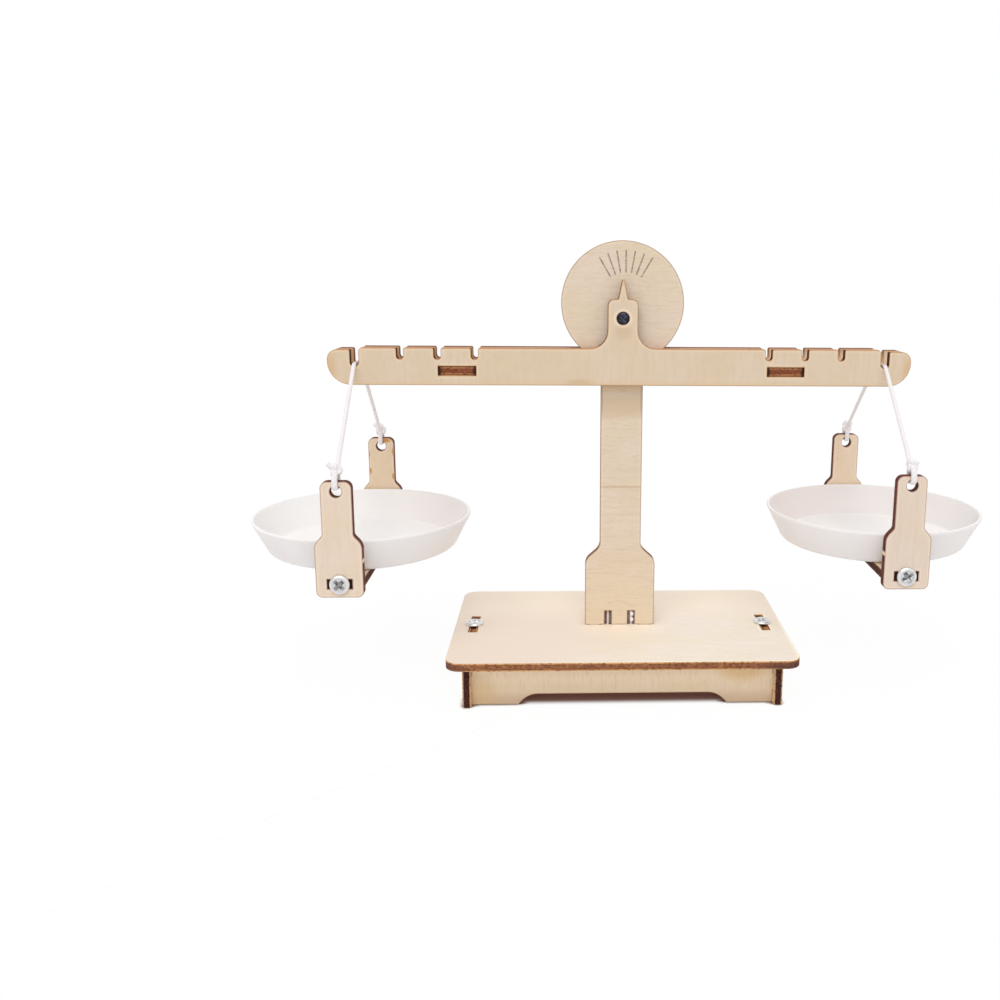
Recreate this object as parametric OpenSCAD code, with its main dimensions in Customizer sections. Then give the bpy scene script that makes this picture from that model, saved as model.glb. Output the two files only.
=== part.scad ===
// Wooden balance scale. Two notched plywood plates make the beam, which tips on an axle
// through a post with a dial. A pan hangs on a string from each end of the beam.
// Millimetres, +Z up, +X along the beam, +Y to the back. The origin is on the table,
// under the middle of the base.

/* [Plywood] */
// Thickness of the plywood plates
ply = 2.3; // [2:0.1:2.6]
// Play between a tab and each wall of its slot
slot_play = 0.15; // [0.05:0.05:0.25]
// Depth of a tab's end below the face it comes through
tab_recess = 0.3; // [0.1:0.1:0.6]

/* [Screws] */
// Shank diameter of every screw
screw_d = 3; // [2.5:0.1:3.2]
// Head diameter
head_d = 5.3; // [5:0.1:6]
// Head height
head_h = 1.1; // [1:0.1:2.4]
// Radius of the head's domed shoulder
head_round = 0.9; // [0.5:0.1:0.9]
// Radial play of a shank in plywood
screw_play = 0.1; // [0.05:0.05:0.2]
// Radial play of a shank in its nut
thread_play = 0.03; // [0.02:0.01:0.05]
// Width of a nut across its flats
nut_flats = 5.5; // [5:0.1:6]
// Thickness of a nut
nut_h = 2.4; // [1.8:0.1:2.6]
// Play between a nut and each wall of its pocket
nut_play = 0.1; // [0.05:0.05:0.2]
// Length of a screw's point past its nut
screw_past = 0.3; // [0.1:0.1:0.6]

/* [Base] */
// Width of the base top, along the beam
base_w = 96; // [84:1:110]
// Depth of the base top
base_d = 60; // [54:1:66]
// Height of the base's top face above the table
base_h = 14.4; // [13:0.2:20]
// Corner radius of the base top
base_r = 4; // [1:0.5:8]
// Inset of a side panel's middle plane from the top's side edge
side_inset = 5.4; // [4:0.2:8]
// Setback of a side panel's ends from the top's front and back edges
side_setback = 4; // [1:0.5:6]
// Setback of the front and back panels from the side panels' ends
front_setback = 2; // [1:0.25:3]
// Width of the arch under the front panel, at the table
arch_w = 57.4; // [40:1:66]
// Height of the arch
arch_h = 3; // [2:0.25:4]
// Run of the arch's slanted ends
arch_lean = 2.7; // [1.5:0.1:4]
// Radius where a slanted end meets the arch's flat top
arch_r = 6; // [1:0.5:6]
// Length of the slot in the base top for a side panel's two tabs
base_tab_l = 13; // [11:0.5:18]
// Depth of the nut below a side panel's top edge
base_nut_depth = 3; // [1:0.25:4]
// Height of the tabs at the ends of the front and back panels
end_tab_h = 5; // [3:0.5:6]

/* [Post] */
// Height of the dial's centre above the base's top face
post_h = 93.6; // [88:0.2:100]
// Radius of the dial
dial_r = 17; // [15:0.2:20]
// Width of the post's neck
neck_w = 11.8; // [10:0.2:14]
// Width of the post's foot
foot_w = 20.2; // [19.5:0.2:26]
// Height of the foot up to where it starts to narrow
foot_h = 19.9; // [14:0.5:24]
// Height of the sloping stretch between foot and neck
foot_slope_h = 3.8; // [3.5:0.1:5]
// Radius of both bends of the slope
foot_slope_r = 3.4; // [1:0.2:3.4]
// Width of each tab that plugs the foot into the base top
foot_tab_w = 3.4; // [2:0.2:3.6]
// Distance of each such tab's middle from the post's middle line
foot_tab_x = 7.4; // [7.2:0.1:7.6]

/* [Dial marks] */
// Number of engraved marks
mark_count = 7; // [3:2:9]
// Angle between two marks
mark_step = 10.2; // [6:0.2:12]
// Shift of the marks' common centre from the dial's centre, towards +X
mark_shift = 0.8; // [0:0.1:1]
// Distance of a mark's inner end from the marks' common centre
mark_from = 8.3; // [7:0.1:9]
// Distance of a mark's outer end from the marks' common centre
mark_to = 14.4; // [11:0.1:14.6]
// Width of a mark
mark_w = 0.4; // [0.3:0.05:0.6]
// Depth of a mark
mark_depth = 0.15; // [0.1:0.05:0.3]

/* [Gussets] */
// Thickness of the gussets, which the narrow notches in the foot show to be of a thinner board
gusset_ply = 1.7; // [1.5:0.1:2.4]
// Depth of a gusset behind the post
gusset_d = 19; // [16:0.5:24]
// Height of a gusset
gusset_h = 22; // [16:0.5:26]
// Distance of a gusset's middle plane from the post's middle line
gusset_x = 3.4; // [3:0.1:3.6]
// Width of a gusset's top edge and height of its toe
gusset_end = 4.1; // [4:0.1:5]
// Radius of the hollow along a gusset's long edge
gusset_r = 12; // [4:1:14]
// Length of the tab that plugs a gusset into the base top
gusset_tab_l = 7; // [5:0.5:9]

/* [Axle] */
// Diameter of the axle
axle_d = 3.5; // [3:0.1:4]
// Radial running clearance of the axle in the post
axle_play = 0.05; // [0.02:0.01:0.1]
// Radial clearance of the axle's seat in the beam plates
axle_seat = 0.01; // [0.01:0.01:0.03]
// Depth of the axle below the dial's centre
axle_drop = 4; // [2:0.2:5]

/* [Beam] */
// Length of the beam
beam_len = 162; // [158:1:180]
// Height of the beam plates away from the lobe
beam_h = 10.2; // [10:0.2:12]
// Depth of the beam's top edge below the axle's centre
beam_drop = 8.35; // [7:0.05:10]
// Clear gap between the front and the rear beam plate
beam_gap = 3.2; // [2.9:0.1:4]
// Drop of a beam end's top, outside the string's notch, below the rest of the top edge
end_drop = 0.5; // [0.2:0.1:0.6]
// Radius of a beam end's upper corner
end_top_r = 2.8; // [1:0.2:2.8]
// Radius of a beam end's lower corner
end_bottom_r = 6.4; // [3:0.2:6.4]

/* [Beam lobe and pointer] */
// Width of the lobe that holds the axle
lobe_w = 8.3; // [7.6:0.1:10]
// Height of the lobe's shoulders above the axle's centre
lobe_rise = 5.15; // [4:0.05:6]
// Radius of the hollows where the lobe grows out of the beam
lobe_fillet_r = 5; // [2:0.5:6]
// Radius of the lobe's shoulders
lobe_corner_r = 1.7; // [0.5:0.1:1.8]
// Height of the pointer's tip above the axle's centre
pointer_rise = 10.4; // [8:0.2:11]
// Width of the pointer's root
pointer_w = 2.6; // [2:0.1:2.8]
// Width of the pointer's blunt tip
pointer_tip_w = 0.5; // [0.3:0.1:0.8]
// Radius of the hollows at the pointer's root
pointer_fillet_r = 0.4; // [0.1:0.1:0.5]

/* [Beam notches] */
// Number of weight notches on each side
notch_count = 3; // [1:1:4]
// Distance between two weight notches
notch_pitch = 10.2; // [9:0.1:10.6]
// Distance of the innermost weight notch from the axle
notch_first = 40.8; // [36:0.2:41]
// Width of a weight notch
notch_w = 1.9; // [1.6:0.05:2.4]
// Depth of a weight notch
notch_depth = 3.1; // [2:0.05:3.5]
// Width and depth of a weight notch's chamfer
notch_chamfer = 0.3; // [0.2:0.1:1]
// Distance of the string's notch from the axle
pan_arm = 73.6; // [72.5:0.1:76]
// Width of the string's notch
end_notch_w = 2.35; // [2.2:0.05:3]
// Depth of the string's notch
end_notch_depth = 5.1; // [3.5:0.1:5.5]
// Width of the string notch's chamfer
end_chamfer_w = 0.7; // [0.4:0.05:2]
// Depth of the string notch's chamfer
end_chamfer_h = 0.7; // [0.4:0.05:1.4]
// Radius of a notch's outer lip
notch_lip_r = 0.5; // [0.1:0.1:0.8]

/* [Beam spacers] */
// Distance of a spacer's middle from the axle
spacer_x = 45.65; // [44:0.05:50]
// Height of a spacer's middle above the beam's bottom edge
spacer_rise = 3.95; // [2.6:0.05:4.2]
// Width of a spacer's tabs
spacer_tab_w = 10.1; // [6:0.1:12]
// Width of each shoulder that keeps the beam plates apart
spacer_shoulder = 1.5; // [1:0.25:2.5]

/* [Pan holders] */
// Height of a hanger plate
hanger_h = 30.5; // [28:0.5:36]
// Width of a hanger's lower body, and of the crossbar
hanger_w = 12.1; // [10.6:0.1:14]
// Width of a hanger's neck
hanger_neck_w = 7.9; // [6:0.1:9]
// Height of the body up to where it starts to narrow
hanger_body_h = 14.2; // [10:0.2:16]
// Height of the sloping shoulder
hanger_slope_h = 2.2; // [2.1:0.1:3]
// Radius of the bend from body to shoulder
hanger_body_r = 3.4; // [1:0.2:3.4]
// Radius of the bend from shoulder to neck
hanger_neck_r = 1.5; // [0.5:0.1:1.6]
// Radius of the upper corners
hanger_top_r = 1.8; // [0.5:0.1:2.2]
// Radius of the lower corners
hanger_foot_r = 1.6; // [0.5:0.1:2]
// Diameter of the string's hole
hanger_hole_d = 3; // [2.2:0.1:3.4]
// Depth of the hole's centre below the hanger's top
hanger_hole_drop = 2.6; // [2.3:0.1:3]
// Height of the screw above the hanger's bottom
hanger_screw_rise = 3.6; // [3.2:0.1:5]
// Width of the slot in a hanger for the crossbar's two tabs
bar_tab_w = 6.1; // [6:0.1:7.6]
// Depth of the nut behind the crossbar's end
bar_nut_depth = 0.8; // [0.5:0.1:1]
// Gap between the dish's rim and each hanger
dish_play = 0.3; // [0.3:0.1:1]

/* [Dishes] */
// Outer radius of the rim
dish_r = 30.4; // [28:0.2:34]
// Run of the sloping wall, from the bottom's corner out to the rim
dish_flare = 4.2; // [3.8:0.1:6]
// Height of a dish
dish_h = 9.6; // [7:0.2:12]
// Wall thickness
dish_wall = 0.9; // [0.6:0.1:1.4]
// Outer radius of the bottom's corner
dish_corner_r = 2.6; // [1.5:0.1:3.5]

/* [Strings] */
// Diameter of a string
string_d = 1; // [0.6:0.1:1.2]
// Gap between a string and the wood it lies on
string_seat = 0.15; // [0.1:0.05:0.2]
// Drop of the left string from its notch to its holder's holes
left_drop = 28.4; // [24:0.2:30]
// Drop of the right string from its notch to its holder's holes
right_drop = 27; // [24:0.2:30]
// Diameter of a knot
knot_d = 2.8; // [2:0.1:3]

/* [Hidden] */

// Steps in each rounded corner, and sides of each round
arc_steps = 8;
$fn = 64;
// Share of a notch's width that its bottom corners take as their radius
notch_round_share = 0.48;
// Overrun of a cut past the face it opens
overrun = 1;
// Clear length of a screw's channel past its nut
channel_past = 1;
// Sides of a string, and rings along each straight span
string_sides = 8;
span_rings = 6;

wood = "burlywood";
steel = "lightsteelblue";
plastic = "whitesmoke";
cotton = "ivory";

// Heights above the table
panel_h = base_h - ply;
dial_z = base_h + post_h;
axle_z = dial_z - axle_drop;
beam_top = axle_z - beam_drop;
beam_bottom = beam_top - beam_h;
string_z = beam_top - end_notch_depth + string_seat + string_d / 2;

// Places in the base
side_x = base_w / 2 - side_inset;
side_l = base_d - 2 * side_setback;
front_y = base_d / 2 - side_setback - front_setback - ply / 2;
gusset_tab_y = ply / 2 + gusset_d / 2;

// Places in a pan holder, with heights from the string in its holes
hanger_y = dish_r + dish_play + ply / 2;
hole_below_string = hanger_hole_d / 2 - string_d / 2 - string_seat;
hanger_bottom = hanger_hole_drop - hole_below_string - hanger_h;
bar_z = hanger_bottom + hanger_screw_rise;
dish_z = bar_z + ply / 2;
bar_l = 2 * (hanger_y - ply / 2);
bar_nut_y = bar_l / 2 - bar_nut_depth - nut_h;

// Route of one half of a string, as [along Y, up], in millimetres. The loop's points count
// from the middle of the front hanger's hole, and the last two from the notch.
loop_route = [[0, 4.2], [-1.2, 3.6], [-1.9, 2.2], [-1.9, 0.4], [-1.6, 0],
    [1.6, 0], [1.9, 0.4], [1.9, 2.2], [1.4, 3.5], [1.6, 4.4]];
notch_route = [[-4.9, -0.5], [-4.3, 0]];
knot_place = [0.5, 4.3];

// Outline points are [x, y, corner radius]. Each corner becomes an arc of its radius.
function unit(v) = v / norm(v);

function corner(before, at, after, r) =
    let (u = unit(before - at),
        w = unit(after - at),
        half = acos(max(-1, min(1, u * w))) / 2,
        centre = at + unit(u + w) * r / sin(half),
        from = at + u * r / tan(half) - centre,
        to = at + w * r / tan(half) - centre,
        start = atan2(from.y, from.x),
        turn = atan2(to.y, to.x) - start,
        sweep = turn > 180 ? turn - 360 : turn < -180 ? turn + 360 : turn)
    [for (i = [0 : arc_steps])
        centre + r * [cos(start + sweep * i / arc_steps), sin(start + sweep * i / arc_steps)]];

function flat(p) = [p.x, p.y];

function rounded(points) =
    let (n = len(points))
    [for (i = [0 : n - 1])
        each points[i].z > 0
            ? corner(flat(points[(i + n - 1) % n]), flat(points[i]), flat(points[(i + 1) % n]), points[i].z)
            : [flat(points[i])]];

function both_halves(points) = concat(points,
    [for (i = [len(points) - 1 : -1 : 0]) [-points[i].x, points[i].y, points[i].z]]);

// A plate that stands across the view, with its outline in X and Z
module upright(y) {
    translate([0, y + ply / 2, 0]) rotate([90, 0, 0]) linear_extrude(ply) children();
}

// A plate that stands along the view, with its outline in Y and Z
module sideways(x, thickness = ply) {
    translate([x - thickness / 2, 0, 0]) rotate([90, 0, 90]) linear_extrude(thickness) children();
}

// A plate that lies flat, with its outline in X and Y
module lying(z) {
    translate([0, 0, z - ply / 2]) linear_extrude(ply) children();
}

// Slot for one tab of width w
module tab_slot(w, thickness = ply) {
    square([w + 2 * slot_play, thickness + 2 * slot_play], center = true);
}

// Slot for two tabs with a screw between them
module screw_slot(w) {
    tab_slot(w);
    circle(d = screw_d + 2 * screw_play);
}

// Two tabs of overall width w on the edge y = 0 of the plate given as children, with the
// channel and the nut pocket of the screw that comes in between them
module screw_tabs(w, nut_depth) {
    channel_w = screw_d + 2 * screw_play;
    channel_l = nut_depth + nut_h + nut_play + channel_past;
    pocket = [nut_flats + 2 * nut_play, nut_h + 2 * nut_play];
    difference() {
        union() {
            children();
            translate([-w / 2, 0]) square([w, ply - tab_recess]);
        }
        translate([-channel_w / 2, -channel_l]) square([channel_w, channel_l + ply + overrun]);
        translate([-pocket.x / 2, -nut_depth - nut_h - nut_play]) square(pocket);
    }
}

// Pan-head screw with its seat at the origin, pointing down
module screw(nut_depth) {
    tip = ply + nut_depth + nut_h + screw_past;
    rotate_extrude() polygon(rounded([
        [0, -tip, 0], [screw_d / 2, -tip, 0], [screw_d / 2, 0, 0], [head_d / 2, 0, 0],
        [head_d / 2, head_h, head_round], [0, head_h, 0]]));
}

// Hexagon nut standing on the origin, with two flats square to Y
module nut() {
    difference() {
        cylinder(d = nut_flats / cos(30), h = nut_h, $fn = 6);
        translate([0, 0, -overrun]) cylinder(d = screw_d + 2 * thread_play, h = nut_h + 2 * overrun);
    }
}

module base_top() {
    corner_x = base_w / 2;
    corner_y = base_d / 2;
    color(wood) lying(base_h - ply / 2) difference() {
        polygon(rounded([[corner_x, -corner_y, base_r], [corner_x, corner_y, base_r],
            [-corner_x, corner_y, base_r], [-corner_x, -corner_y, base_r]]));
        for (side = [-1, 1]) {
            translate([side * side_x, 0]) rotate(90) screw_slot(base_tab_l);
            translate([side * foot_tab_x, 0]) tab_slot(foot_tab_w);
            translate([side * gusset_x, gusset_tab_y]) rotate(90) tab_slot(gusset_tab_l, gusset_ply);
        }
    }
}

module base_side(side) {
    color(wood) sideways(side * side_x) difference() {
        translate([0, panel_h]) screw_tabs(base_tab_l, base_nut_depth)
            translate([-side_l / 2, -panel_h]) square([side_l, panel_h]);
        for (end = [-1, 1])
            translate([end * front_y, panel_h / 2]) rotate(90) tab_slot(end_tab_h);
    }
}

module base_panel(end) {
    half_w = side_x - ply / 2;
    tab_end = half_w + ply - tab_recess;
    low = (panel_h - end_tab_h) / 2;
    high = low + end_tab_h;
    color(wood) upright(end * front_y) polygon(rounded(both_halves([
        [arch_w / 2 - arch_lean, arch_h, arch_r], [arch_w / 2, 0, 0], [half_w, 0, 0],
        [half_w, low, 0], [tab_end, low, 0], [tab_end, high, 0], [half_w, high, 0],
        [half_w, panel_h, 0]])));
}

module base_screws() {
    color(steel) for (side = [-1, 1])
        translate([side * side_x, 0, base_h]) screw(base_nut_depth);
}

module base_nuts() {
    color(steel) for (side = [-1, 1])
        translate([side * side_x, 0, panel_h - base_nut_depth - nut_h]) nut();
}

module post_outline() {
    slope_top = foot_h + foot_slope_h;
    polygon(rounded(both_halves([[foot_w / 2, 0, 0], [foot_w / 2, foot_h, foot_slope_r],
        [neck_w / 2, slope_top, foot_slope_r], [neck_w / 2, post_h, 0]])));
    translate([0, post_h]) circle(dial_r, $fn = 128);
    for (side = [-1, 1])
        translate([side * foot_tab_x - foot_tab_w / 2, tab_recess - ply])
            square([foot_tab_w, ply]);
}

module post() {
    notch = gusset_ply + 2 * slot_play;
    color(wood) translate([0, 0, base_h]) difference() {
        upright(0) difference() {
            post_outline();
            translate([0, post_h - axle_drop]) circle(d = axle_d + 2 * axle_play);
            for (side = [-1, 1])
                translate([side * gusset_x - notch / 2, -overrun])
                    square([notch, gusset_end + slot_play + overrun]);
        }
        for (i = [0 : mark_count - 1])
            translate([mark_shift, mark_depth - ply / 2, post_h])
                rotate([0, (i - (mark_count - 1) / 2) * mark_step, 0])
                translate([-mark_w / 2, -mark_depth - overrun, mark_from])
                cube([mark_w, mark_depth + overrun, mark_to - mark_from]);
    }
}

module gusset(side) {
    back = ply / 2 + gusset_d;
    tab_front = tab_recess - ply / 2;
    tab_low = tab_recess - ply;
    color(wood) translate([0, 0, base_h]) sideways(side * gusset_x, gusset_ply) polygon(rounded([
        [tab_front, 0, 0], [gusset_tab_y - gusset_tab_l / 2, 0, 0],
        [gusset_tab_y - gusset_tab_l / 2, tab_low, 0], [gusset_tab_y + gusset_tab_l / 2, tab_low, 0],
        [gusset_tab_y + gusset_tab_l / 2, 0, 0], [back, 0, 0], [back, gusset_end, 0],
        [ply / 2 + gusset_end, gusset_end, gusset_r], [ply / 2 + gusset_end, gusset_h, 0],
        [ply / 2, gusset_h, 0], [ply / 2, gusset_end, 0], [tab_front, gusset_end, 0]]));
}

module axle() {
    length = beam_gap + 2 * ply;
    color("dimgray") translate([0, length / 2, axle_z]) rotate([90, 0, 0])
        cylinder(d = axle_d, h = length);
}

// A notch cut down from the beam's top edge, with its chamfer on the side of the axle. Its outer
// lip lies lower than the other by drop.
function notch(x, w, depth, chamfer_w, chamfer_h, drop = 0) = [
    [x + w / 2, beam_top - drop, notch_lip_r], [x + w / 2, beam_top - depth, w * notch_round_share],
    [x - w / 2, beam_top - depth, w * notch_round_share], [x - w / 2, beam_top - chamfer_h, 0],
    [x - w / 2 - chamfer_w, beam_top, 0]];

beam_half = concat(
    [[beam_len / 2, beam_bottom, end_bottom_r], [beam_len / 2, beam_top - end_drop, end_top_r]],
    notch(pan_arm, end_notch_w, end_notch_depth, end_chamfer_w, end_chamfer_h, end_drop),
    [for (i = [notch_count - 1 : -1 : 0])
        each notch(notch_first + i * notch_pitch, notch_w, notch_depth, notch_chamfer, notch_chamfer)],
    [[lobe_w / 2, beam_top, lobe_fillet_r], [lobe_w / 2, axle_z + lobe_rise, lobe_corner_r],
        [pointer_w / 2, axle_z + lobe_rise, pointer_fillet_r],
        [pointer_tip_w / 2, axle_z + pointer_rise, 0]]);

module beam_plate(end) {
    color(wood) upright(end * (beam_gap + ply) / 2) difference() {
        polygon(rounded(both_halves(beam_half)));
        translate([0, axle_z]) circle(d = axle_d + 2 * axle_seat);
        for (side = [-1, 1])
            translate([side * spacer_x, beam_bottom + spacer_rise]) tab_slot(spacer_tab_w);
    }
}

module beam_spacer(side) {
    tab_l = beam_gap + 2 * (ply - tab_recess);
    color(wood) translate([side * spacer_x, 0, 0]) lying(beam_bottom + spacer_rise) {
        square([spacer_tab_w, tab_l], center = true);
        square([spacer_tab_w + 2 * spacer_shoulder, beam_gap], center = true);
    }
}

// Places a pan's pieces: left is side -1 and right is side 1
module pan(side) {
    drop = side < 0 ? left_drop : right_drop;
    translate([side * pan_arm, 0, string_z - drop]) children();
}

module hanger(side, end) {
    half = both_halves([[hanger_w / 2, 0, hanger_foot_r], [hanger_w / 2, hanger_body_h, hanger_body_r],
        [hanger_neck_w / 2, hanger_body_h + hanger_slope_h, hanger_neck_r],
        [hanger_neck_w / 2, hanger_h, hanger_top_r]]);
    color(wood) pan(side) translate([0, 0, hanger_bottom]) upright(end * hanger_y) difference() {
        polygon(rounded(half));
        translate([0, hanger_h - hanger_hole_drop]) circle(d = hanger_hole_d);
        translate([0, hanger_screw_rise]) screw_slot(bar_tab_w);
    }
}

// Half of the crossbar's outline, with the screw's tabs at the end away from the middle
module half_bar() {
    translate([0, bar_l / 2]) screw_tabs(bar_tab_w, bar_nut_depth)
        translate([-hanger_w / 2, -bar_l / 2]) square([hanger_w, bar_l / 2]);
}

module crossbar(side) {
    color(wood) pan(side) lying(bar_z) {
        half_bar();
        rotate(180) half_bar();
    }
}

module dish(side) {
    slope = dish_flare / dish_h;
    wall_run = dish_wall * sqrt(1 + slope * slope);
    bottom_r = dish_r - dish_flare;
    color(plastic) pan(side) translate([0, 0, dish_z]) rotate_extrude($fn = 128) polygon(rounded([
        [0, 0, 0], [bottom_r, 0, dish_corner_r], [dish_r, dish_h, 0], [dish_r - wall_run, dish_h, 0],
        [bottom_r + slope * dish_wall - wall_run, dish_wall, dish_corner_r - dish_wall],
        [0, dish_wall, 0]]));
}

module pan_screws(side) {
    color(steel) pan(side) for (end = [-1, 1])
        translate([0, end * (hanger_y + ply / 2), bar_z]) rotate([-end * 90, 0, 0])
            screw(bar_nut_depth);
}

module pan_nuts(side) {
    color(steel) pan(side) for (end = [-1, 1])
        translate([0, end * bar_nut_y, bar_z]) rotate([-end * 90, 0, 0]) rotate(90) nut();
}

// Tube round a route in the plane of Y and Z, with mitred rings
function ring(route, i, r) =
    let (n = len(route),
        in = unit(route[max(i, 1)] - route[max(i, 1) - 1]),
        out = unit(route[min(i, n - 2) + 1] - route[min(i, n - 2)]),
        along = unit(in + out),
        mitre = in * along)
    [for (k = [0 : string_sides - 1])
        let (a = 360 * (k + 1 / 2) / string_sides)
        [r * cos(a), route[i].x - along.y * r * sin(a) / mitre, route[i].y + along.x * r * sin(a) / mitre]];

module tube(route, r) {
    n = len(route);
    sides = string_sides;
    skin = [for (i = [0 : n - 2], k = [0 : sides - 1])
        let (a = i * sides + k, b = i * sides + (k + 1) % sides)
        each [[a, a + sides, b], [b, a + sides, b + sides]]];
    start = [for (k = [0 : sides - 1]) k];
    end = [for (k = [sides - 1 : -1 : 0]) (n - 1) * sides + k];
    polyhedron([for (i = [0 : n - 1]) each ring(route, i, r)], concat([start, end], skin));
}

module string(side) {
    drop = side < 0 ? left_drop : right_drop;
    loop = [for (p = loop_route) p + [-hanger_y, -drop]];
    last = loop[len(loop) - 1];
    span = [for (i = [1 : span_rings]) last + (notch_route[0] - last) * i / (span_rings + 1)];
    front = concat(loop, span, notch_route);
    back = [for (i = [len(front) - 1 : -1 : 0]) [-front[i].x, front[i].y]];
    color(cotton) translate([side * pan_arm, 0, string_z]) tube(concat(front, back), string_d / 2);
}

module knots(side) {
    color(cotton) pan(side) for (end = [-1, 1])
        translate([0, end * (hanger_y - knot_place.x), knot_place.y]) sphere(d = knot_d, $fn = 24);
}

base_top();
base_side(-1);  // base_left_side
base_side(1);  // base_right_side
base_panel(-1);  // base_front
base_panel(1);  // base_back
base_screws();
base_nuts();
post();
gusset(-1);  // left_gusset
gusset(1);  // right_gusset
axle();
beam_plate(-1);  // beam_front_plate
beam_plate(1);  // beam_rear_plate
beam_spacer(-1);  // beam_left_spacer
beam_spacer(1);  // beam_right_spacer
hanger(-1, -1);  // left_front_hanger
hanger(-1, 1);  // left_rear_hanger
crossbar(-1);  // left_crossbar
dish(-1);  // left_dish
pan_screws(-1);  // left_pan_screws
pan_nuts(-1);  // left_pan_nuts
string(-1);  // left_string
knots(-1);  // left_knots
hanger(1, -1);  // right_front_hanger
hanger(1, 1);  // right_rear_hanger
crossbar(1);  // right_crossbar
dish(1);  // right_dish
pan_screws(1);  // right_pan_screws
pan_nuts(1);  // right_pan_nuts
string(1);  // right_string
knots(1);  // right_knots
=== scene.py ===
import math

import bpy
import numpy as np
from mathutils import Matrix, Vector
from mathutils.geometry import delaunay_2d_cdt


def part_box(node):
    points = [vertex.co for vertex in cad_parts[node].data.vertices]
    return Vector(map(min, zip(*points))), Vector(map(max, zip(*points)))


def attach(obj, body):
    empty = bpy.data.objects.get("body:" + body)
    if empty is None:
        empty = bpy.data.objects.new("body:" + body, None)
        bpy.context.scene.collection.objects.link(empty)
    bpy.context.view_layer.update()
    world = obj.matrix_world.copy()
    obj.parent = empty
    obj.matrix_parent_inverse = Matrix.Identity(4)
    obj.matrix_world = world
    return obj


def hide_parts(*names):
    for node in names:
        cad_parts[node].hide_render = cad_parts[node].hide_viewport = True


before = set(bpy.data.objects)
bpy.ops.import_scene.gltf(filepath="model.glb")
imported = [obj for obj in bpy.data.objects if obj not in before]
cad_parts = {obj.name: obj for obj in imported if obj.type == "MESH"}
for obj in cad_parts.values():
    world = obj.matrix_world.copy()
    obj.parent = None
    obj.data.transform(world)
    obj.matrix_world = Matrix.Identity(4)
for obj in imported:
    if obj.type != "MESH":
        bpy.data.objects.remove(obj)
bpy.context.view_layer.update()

# Viewpoint. The camera stands a little left of the post and above the beam, and looks slightly
# down, as in the photograph. Its place and lens were worked out from the edges seen there.
MM = 0.001
camera_place = Vector((-15.231, -284.615, 119.905)) * MM
camera_yaw = 0.045
camera_pitch = 0.203
camera_roll = 0.009
focal_length_px = 1014.66
middle_of_view_px = (612.36, 468.08)
picture_px = 1000
sensor = 36

scene = bpy.context.scene
aim = Matrix.Translation(camera_place)
for angle, axis in ((-camera_yaw, "Z"), (math.pi / 2 - camera_pitch, "X"), (camera_roll, "Z")):
    aim @= Matrix.Rotation(angle, 4, axis)
camera = bpy.data.objects.new("camera", bpy.data.cameras.new("camera"))
camera.matrix_world = aim
camera.data.sensor_width = sensor
camera.data.lens = sensor * focal_length_px / picture_px
camera.data.shift_x = 0.5 - middle_of_view_px[0] / picture_px
camera.data.shift_y = middle_of_view_px[1] / picture_px - 0.5
camera.data.clip_start = 10 * MM
scene.collection.objects.link(camera)
scene.camera = camera


# Strings. One length of twisted white cotton lies over each end of the beam in its notch. Each
# end goes through a hanger's hole and back over the top, and is tied to itself in a small knot.
X, Y, Z = range(3)
string_d = 1.0
string_sides = 24
string_step = 0.25
yarn_count = 3
yarn_pitch = 3.4
yarn_groove = 0.06
# How wide the string is at its front loop, on its front strand, which hangs looser, and on the
# rear one, and how flat its loops are pressed
strand_widths = (1.14, 1.16, 0.98)
loop_spread = 1.35
# Route of the front half of the left string, as (along Y, up), in millimetres, and how much higher
# each string lies at each of its points
route = [(-31.85, 67.0), (-33.05, 66.4), (-33.75, 65.0), (-33.75, 63.2), (-33.45, 62.8),
         (-30.25, 62.8), (-29.95, 63.2), (-29.95, 65.0), (-30.45, 66.3), (-30.25, 67.2),
         (-26.63, 70.56), (-4.9, 90.7), (-4.3, 91.2)]
lifts = {"left": [0.0] * 13, "right": [1.4] * 10 + [1.2, 0.0, 0.0]}


def node_box(node):
    """A CAD node's lowest corner, highest corner and middle, in millimetres."""
    low, high = (np.array(corner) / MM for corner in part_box(node))
    return low, high, (low + high) / 2


def add_piece(name, points, faces, smooth_to=None, material=None):
    """A new object at the origin from points in millimetres. Edges under smooth_to degrees are soft."""
    mesh = bpy.data.meshes.new(name)
    mesh.from_pydata((np.array(points) * MM).tolist(), [], faces)
    mesh.update()
    if smooth_to is not None:
        mesh.polygons.foreach_set("use_smooth", [True] * len(mesh.polygons))
        mesh.set_sharp_from_angle(angle=math.radians(smooth_to))
    if material:
        mesh.materials.append(material)
    piece = bpy.data.objects.new(name, mesh)
    scene.collection.objects.link(piece)
    return piece


def keep_values(piece, name, values, domain="POINT"):
    """Stores a number or vector for each point, or face, of a piece, for node trees to read."""
    values = np.array(values, np.float32)
    kind, field = ("FLOAT", "value") if values.ndim == 1 else ("FLOAT_VECTOR", "vector")
    attribute = piece.data.attributes.new(name, kind, domain)
    attribute.data.foreach_set(field, values.ravel())


def rounded_line(points, passes=4):
    """The line with its corners cut again and again, until it is a smooth curve."""
    line = np.array(points, float)
    for _ in range(passes):
        early = 0.75 * line[:-1] + 0.25 * line[1:]
        late = 0.25 * line[:-1] + 0.75 * line[1:]
        cut = np.stack([early, late], axis=1).reshape(-1, line.shape[1])
        line = np.concatenate([line[:1], cut[1:-1], line[-1:]])
    return line


def run_of(line):
    """How far along a line each of its points lies."""
    return np.concatenate([[0], np.cumsum(np.linalg.norm(np.diff(line, axis=0), axis=1))])


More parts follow.
